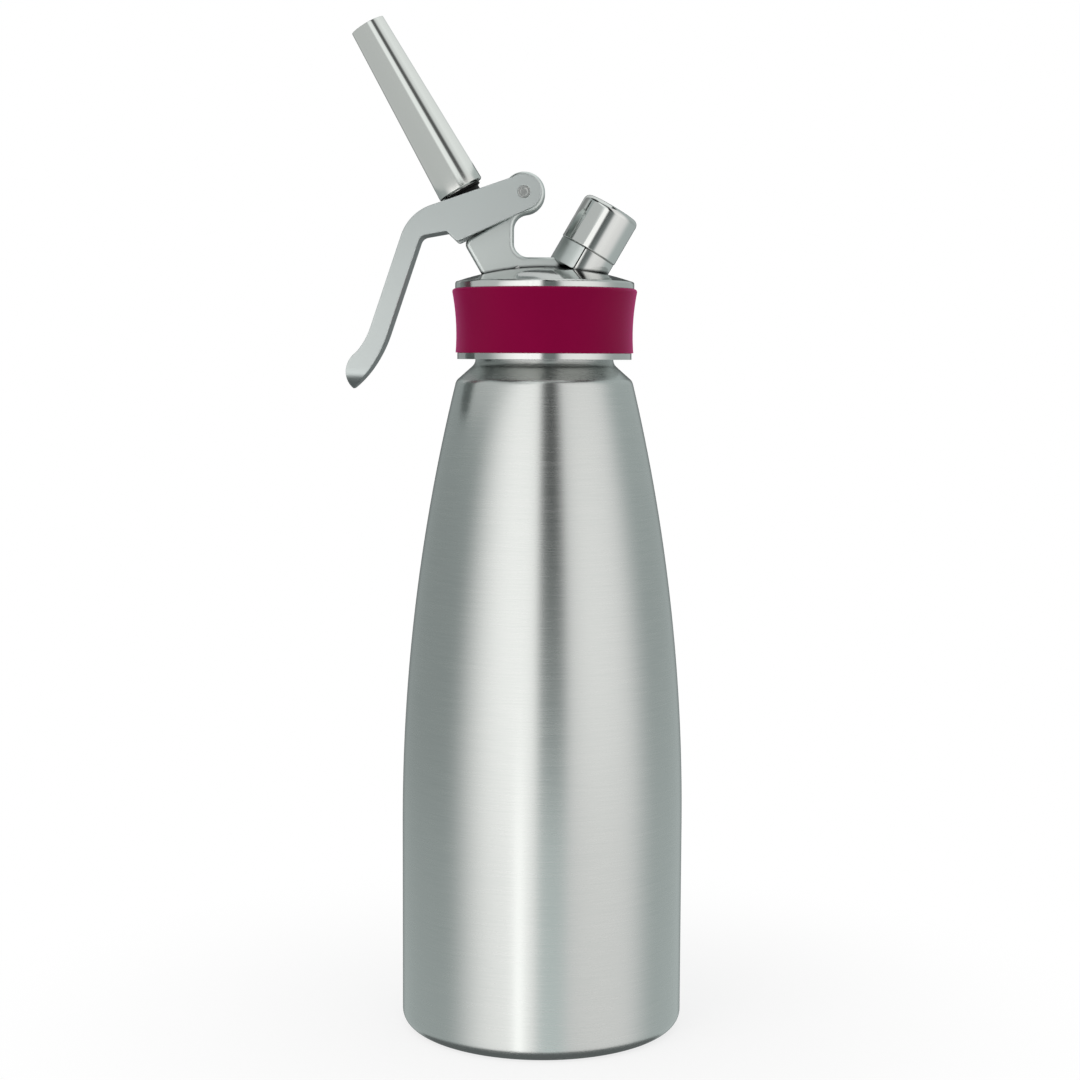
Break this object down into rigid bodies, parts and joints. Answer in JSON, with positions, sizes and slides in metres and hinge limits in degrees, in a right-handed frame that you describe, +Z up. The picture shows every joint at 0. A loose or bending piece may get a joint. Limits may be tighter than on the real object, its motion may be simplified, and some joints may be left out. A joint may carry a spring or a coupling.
{
  "type": "whipped cream dispenser",
  "caption": "Steel whipped cream dispenser with a cast head, hand lever, tilted valve, tapered tip, coloured grip sleeve and a capped charger port.",
  "frame": {"origin": "centre of the bottle's flat resting face", "axes": "+Z up along the bottle's axis, -X towards the lever and the tip, +X towards the charger port"},
  "size_m": [0.1152, 0.0968, 0.3443],
  "materials": {
    "brushed_bottle": "stainless steel, brushed round the axis",
    "satin_head": "cast aluminium, satin polished",
    "satin_lever": "cast aluminium, satin polished",
    "polished_tip": "stainless steel, mirror polished",
    "polished_cap": "stainless steel, mirror polished",
    "pin_steel": "stainless steel pin, polished",
    "turned_steel": "stainless steel, turned",
    "spring_steel": "drawn stainless spring wire",
    "bush_brass": "brass, turned",
    "seal_rubber": "moulded nitrile rubber",
    "sleeve_silicone": "moulded silicone, crimson, satin"
  },
  "bodies": {
    "bottle": {"bottle": "brushed_bottle"},
    "gasket": {"head_gasket": "seal_rubber"},
    "head": {"head_cap": "satin_head", "grip_sleeve": "sleeve_silicone", "pivot_pin": "pin_steel", "guide_bush": "bush_brass", "stem_seal": "seal_rubber", "valve_seat": "turned_steel", "valve_spring": "spring_steel", "needle_carrier": "bush_brass", "piercing_needle": "turned_steel", "charger_gasket": "seal_rubber", "inlet_valve": "seal_rubber", "inlet_retainer": "turned_steel"},
    "lever": {"lever": "satin_lever"},
    "valve": {"valve_stem": "turned_steel", "tip_adapter": "turned_steel", "tip_washer": "seal_rubber", "poppet": "turned_steel", "poppet_seal": "seal_rubber"},
    "tip": {"decorator_tip": "polished_tip"},
    "cap": {"port_cap": "polished_cap"}
  },
  "joints": [
    {"name": "head_lift", "type": "slide", "parent": "bottle", "child": "gasket", "axis": [0, 0, 1], "range_m": [0, 0.0062]},
    {"name": "head_turn", "type": "hinge", "parent": "gasket", "child": "head", "pos_m": [0, 0, 0.2498], "axis": [0, 0, 1], "range_deg": [0, 540]},
    {"name": "lever_pivot", "type": "hinge", "parent": "head", "child": "lever", "pos_m": [-0.00708, 0, 0.2856], "axis": [0, -1, 0], "range_deg": [0, 12], "stiffness_Nm_per_rad": 0.8, "springref_deg": -11.46},
    {"name": "valve_slide", "type": "slide", "parent": "head", "child": "valve", "axis": [0.5, 0, -0.866], "range_m": [0, 0.004], "deforming": ["valve_spring"]},
    {"name": "tip_unscrew", "type": "slide", "parent": "valve", "child": "tip", "axis": [-0.5, 0, 0.866], "range_m": [0, 0.012]},
    {"name": "cap_unscrew", "type": "slide", "parent": "head", "child": "cap", "axis": [0.5, 0, 0.866], "range_m": [0, 0.025]}
  ],
  "couplings": [
    {"joint": "head_lift", "follows": "head_turn", "m_per_rad": 0.00063662},
    {"joint": "valve_slide", "follows": "lever_pivot", "m_per_rad": 0.0179}
  ]
}
